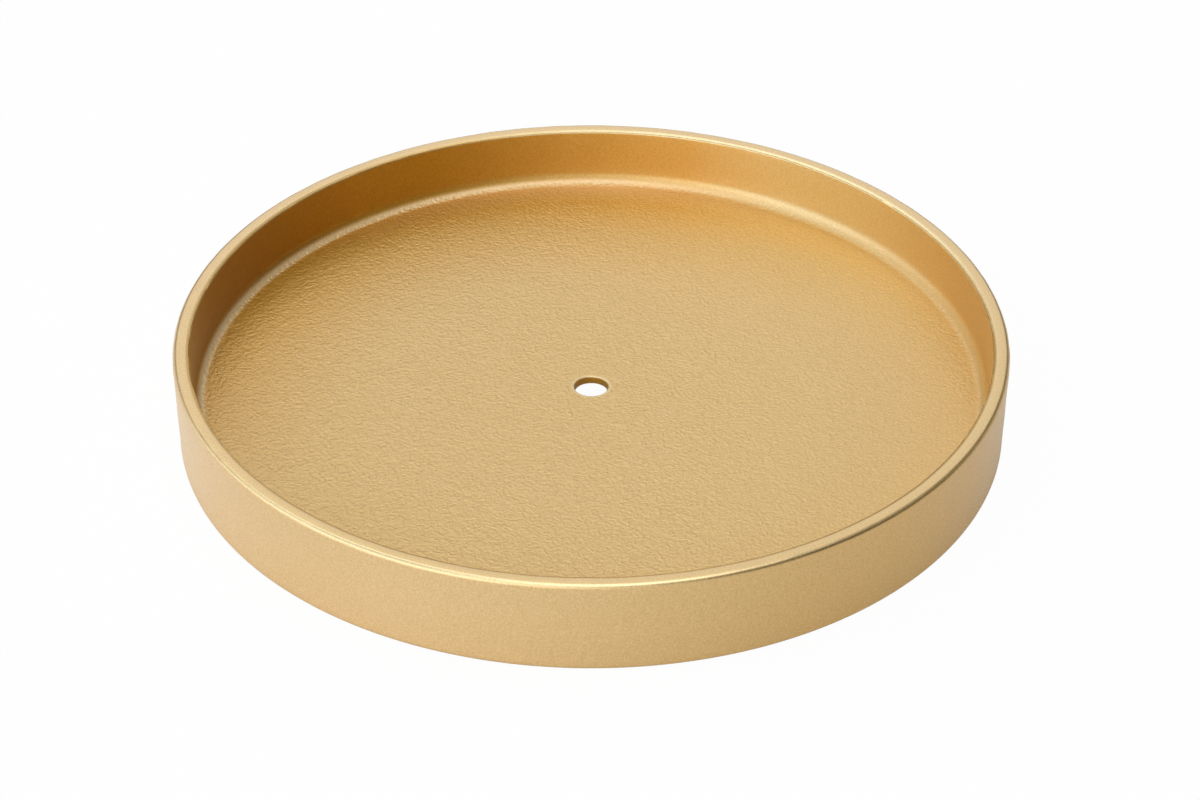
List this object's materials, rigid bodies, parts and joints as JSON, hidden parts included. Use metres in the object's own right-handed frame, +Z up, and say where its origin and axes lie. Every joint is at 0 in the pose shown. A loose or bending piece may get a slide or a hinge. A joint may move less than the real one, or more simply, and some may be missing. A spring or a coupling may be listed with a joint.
{
  "type": "candle plate",
  "caption": "Shallow round metal dish for standing a candle on, with a flat rounded rim, a grained raised floor and a fixing hole in the middle.",
  "frame": {"origin": "on the plate's axis, in the plane that the feet stand on", "axes": "+Z up along the plate's axis; X and Y across it, through the feet; -Y faces the picture's camera"},
  "size_m": [0.21, 0.21, 0.0255],
  "materials": {
    "gold_casting": "satin",
    "foot_rubber": "matte"
  },
  "bodies": {
    "root": {"plate": "gold_casting", "rubber_foot_1": "foot_rubber", "rubber_foot_2": "foot_rubber", "rubber_foot_3": "foot_rubber", "rubber_foot_4": "foot_rubber"}
  },
  "joints": []
}
